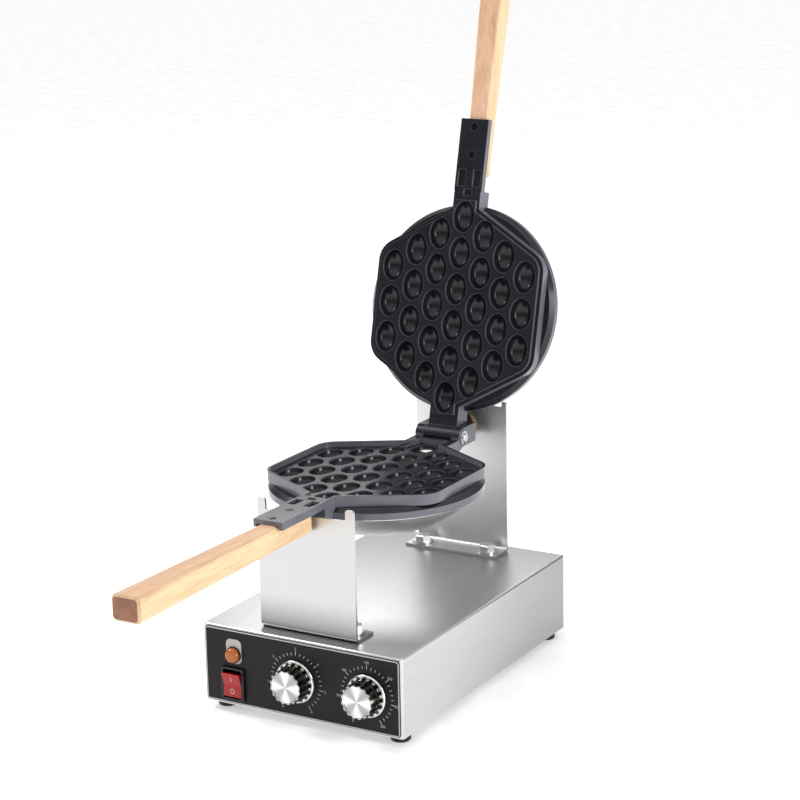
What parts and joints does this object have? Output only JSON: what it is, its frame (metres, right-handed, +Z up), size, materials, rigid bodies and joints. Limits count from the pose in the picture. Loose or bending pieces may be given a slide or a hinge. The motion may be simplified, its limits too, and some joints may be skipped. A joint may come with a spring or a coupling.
{
  "type": "bubble waffle maker",
  "caption": "Countertop bubble waffle maker: hinged, swivelling hexagonal egg-pit moulds with wood handles on bent steel brackets over a steel control housing.",
  "frame": {"origin": "on the floor, under the middle of the whole machine's box with the lid open", "axes": "+X to the right seen from the control panel, +Y to the back, +Z up"},
  "size_m": [0.208, 0.6609, 0.6983],
  "materials": {
    "brushed_steel": "brushed stainless sheet, lengthwise grain, soft sheen",
    "plain_steel": "zinc-plated and turned steel, satin",
    "nonstick_casting": "dark grey non-stick coating on a casting, satin to glossy",
    "beech": "pale varnished hardwood with fine straight grain",
    "panel_black": "black satin panel foil",
    "print_white": "white print",
    "knob_dark": "dark brown-black ribbed grip",
    "knob_silver": "spun aluminium cap, circular grain",
    "switch_black": "black glossy plastic",
    "rocker_red": "translucent red plastic",
    "lamp_orange": "translucent orange dome",
    "foot_rubber": "black rubber",
    "control_white": "moulded control body",
    "ceramic_wool": "pressed white wool",
    "heater_tube": "dull heat-toned tube",
    "bronze": "turned bronze"
  },
  "bodies": {
    "base": {"housing": "brushed_steel", "floor_plate": "plain_steel", "feet": "foot_rubber", "foot_screws": "plain_steel", "foot_nuts": "plain_steel", "front_bracket": "brushed_steel", "rear_bracket": "brushed_steel", "front_bracket_bolts": "plain_steel", "rear_bracket_bolts": "plain_steel", "front_bracket_nuts": "plain_steel", "rear_bracket_nuts": "plain_steel", "control_panel": "panel_black", "panel_border": "print_white", "timer_dial": "print_white", "temperature_dial": "print_white", "switch_body": "switch_black", "label_tag": "print_white", "lamp_body": "switch_black", "lamp_lens": "lamp_orange", "timer_body": "control_white", "thermostat_body": "control_white", "control_nuts": "plain_steel", "terminal_block": "control_white", "mains_gland": "switch_black", "gland_nut": "switch_black", "trunnion_bush": "bronze"},
    "pan": {"lower_plate": "nonstick_casting", "lower_heater": "heater_tube", "lower_insulation": "ceramic_wool", "lower_cover": "brushed_steel", "lower_cover_screw": "plain_steel", "lower_handle": "beech", "lower_handle_screws": "plain_steel", "hinge_pin": "plain_steel", "pin_clips": "plain_steel", "trunnion": "plain_steel", "trunnion_collar": "plain_steel", "collar_screw": "plain_steel"},
    "lid": {"upper_plate": "nonstick_casting", "upper_heater": "heater_tube", "upper_insulation": "ceramic_wool", "upper_cover": "brushed_steel", "upper_cover_screw": "plain_steel", "upper_handle": "beech", "upper_handle_screws": "plain_steel"},
    "timer": {"timer_knob": "knob_dark", "timer_knob_cap": "knob_silver", "timer_shaft": "plain_steel"},
    "temperature": {"temperature_knob": "knob_dark", "temperature_knob_cap": "knob_silver", "temperature_shaft": "plain_steel"},
    "rocker": {"power_rocker": "rocker_red"}
  },
  "joints": [
    {"name": "pan_flip", "type": "hinge", "parent": "base", "child": "pan", "pos_m": [0, 0.2182, 0.206], "axis": [0, 1, 0], "range_deg": [-8, 8]},
    {"name": "lid_hinge", "type": "hinge", "parent": "pan", "child": "lid", "pos_m": [0, 0.179, 0.206], "axis": [1, 0, 0], "range_deg": [0, 104.4]},
    {"name": "timer_turn", "type": "hinge", "parent": "base", "child": "timer", "pos_m": [-0.0045, -0.0823, 0.0435], "axis": [0, -1, 0], "range_deg": [-300, 0]},
    {"name": "temperature_turn", "type": "hinge", "parent": "base", "child": "temperature", "pos_m": [0.069, -0.0823, 0.0435], "axis": [0, -1, 0], "range_deg": [-300, 0]},
    {"name": "rocker_tilt", "type": "hinge", "parent": "base", "child": "rocker", "pos_m": [-0.0722, -0.0819, 0.029], "axis": [1, 0, 0], "range_deg": [-16, 0]}
  ]
}
